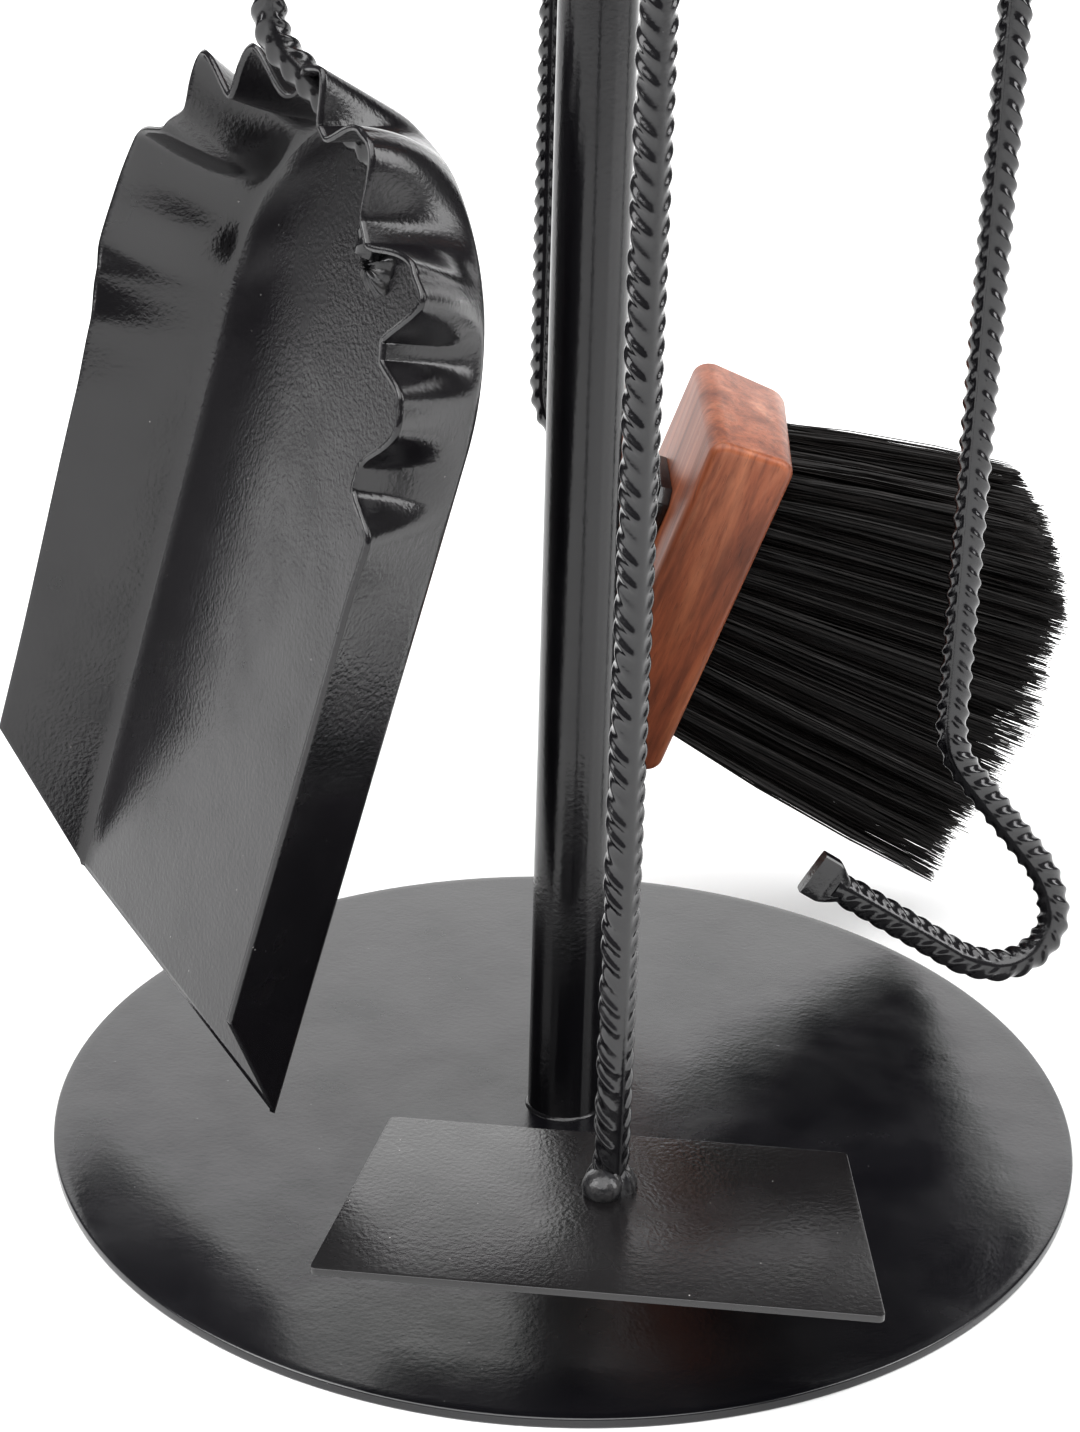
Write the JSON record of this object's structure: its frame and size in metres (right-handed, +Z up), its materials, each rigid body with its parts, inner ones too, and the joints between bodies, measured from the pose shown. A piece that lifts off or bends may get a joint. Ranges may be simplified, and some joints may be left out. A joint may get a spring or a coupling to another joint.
{
  "type": "fireplace tool set",
  "caption": "Round weighted stand with a central post and hook arms, carrying a hooked poker, a round-backed shovel, an ash rake and a hearth brush on ribbed bars",
  "frame": {"origin": "centre of the base plate's underside, on the floor", "axes": "+Z up along the post, +X towards the poker's side, -Y towards the front, where the rake hangs"},
  "size_m": [0.3284, 0.3121, 0.6662],
  "materials": {
    "bar_coat": "satin black powder coat with fine orange peel on bars, tube and welds",
    "base_coat": "satin black powder coat on the round plate, fairly smooth",
    "sheet_coat": "satin black powder coat on folded sheet, with bright worn edges",
    "grip_wood": "reddish-brown stained hardwood, thin satin varnish",
    "block_wood": "reddish-brown stained hardwood with open grain, satin varnish",
    "bristle": "stiff black bristles with ragged cut ends",
    "bright_steel": "zinc-plated screws and stud",
    "plug": "black moulded plug inside the tube"
  },
  "bodies": {
    "stand": {"base_plate": "base_coat", "post_foot_weld": "bar_coat", "post": "bar_coat", "hook_collar": "bar_coat", "collar_set_screws": "bright_steel", "arm_welds": "bar_coat", "hook_arm_poker": "bar_coat", "hook_arm_brush": "bar_coat", "hook_arm_shovel": "bar_coat", "hook_arm_rake": "bar_coat", "post_plug": "plug", "knob_stud": "bright_steel", "knob_washer": "bar_coat", "top_knob": "grip_wood"},
    "poker_link": {"poker_ring": "bar_coat"},
    "poker": {"poker_eye": "bar_coat", "poker_cap": "bar_coat", "poker_grip": "grip_wood", "poker_ferrule": "bar_coat", "poker_shaft": "bar_coat"},
    "brush_link": {"brush_ring": "bar_coat"},
    "brush": {"brush_eye": "bar_coat", "brush_cap": "bar_coat", "brush_grip": "grip_wood", "brush_ferrule": "bar_coat", "brush_shaft": "bar_coat", "brush_plate": "bar_coat", "brush_screws": "bright_steel", "brush_block": "block_wood", "brush_bristles": "bristle"},
    "shovel_link": {"shovel_ring": "bar_coat"},
    "shovel": {"shovel_eye": "bar_coat", "shovel_cap": "bar_coat", "shovel_grip": "grip_wood", "shovel_ferrule": "bar_coat", "shovel_shaft": "bar_coat", "shovel_pan": "sheet_coat", "shovel_weld": "bar_coat"},
    "rake_link": {"rake_ring": "bar_coat"},
    "rake": {"rake_eye": "bar_coat", "rake_cap": "bar_coat", "rake_grip": "grip_wood", "rake_ferrule": "bar_coat", "rake_shaft": "bar_coat", "rake_blade": "sheet_coat", "rake_weld": "bar_coat"}
  },
  "joints": [
    {"name": "poker_lift", "type": "slide", "parent": "stand", "child": "poker_link", "axis": [0.6754, 0.0949, 0.7314], "range_m": [0, 0.055]},
    {"name": "poker_swing", "type": "hinge", "parent": "poker_link", "child": "poker", "pos_m": [0.11091, 0.01559, 0.5519], "axis": [0.1392, -0.9903, 0], "range_deg": [-5, 25]},
    {"name": "brush_lift", "type": "slide", "parent": "stand", "child": "brush_link", "axis": [-0.1034, 0.7359, 0.6691], "range_m": [0, 0.058]},
    {"name": "brush_swing", "type": "hinge", "parent": "brush_link", "child": "brush", "pos_m": [-0.01461, 0.10398, 0.5519], "axis": [0.9903, 0.1392, 0], "range_deg": [-6, 25]},
    {"name": "shovel_lift", "type": "slide", "parent": "stand", "child": "shovel_link", "axis": [-0.8744, -0.1229, 0.4695], "range_m": [0, 0.068]},
    {"name": "shovel_swing", "type": "hinge", "parent": "shovel_link", "child": "shovel", "pos_m": [-0.08417, -0.01183, 0.5519], "axis": [-0.1392, 0.9903, 0], "range_deg": [-2, 20]},
    {"name": "rake_lift", "type": "slide", "parent": "stand", "child": "rake_link", "axis": [0.0949, -0.6754, 0.7314], "range_m": [0, 0.055]},
    {"name": "rake_swing", "type": "hinge", "parent": "rake_link", "child": "rake", "pos_m": [0.01545, -0.10992, 0.5519], "axis": [-0.9903, -0.1392, 0], "range_deg": [-1.5, 25]}
  ]
}
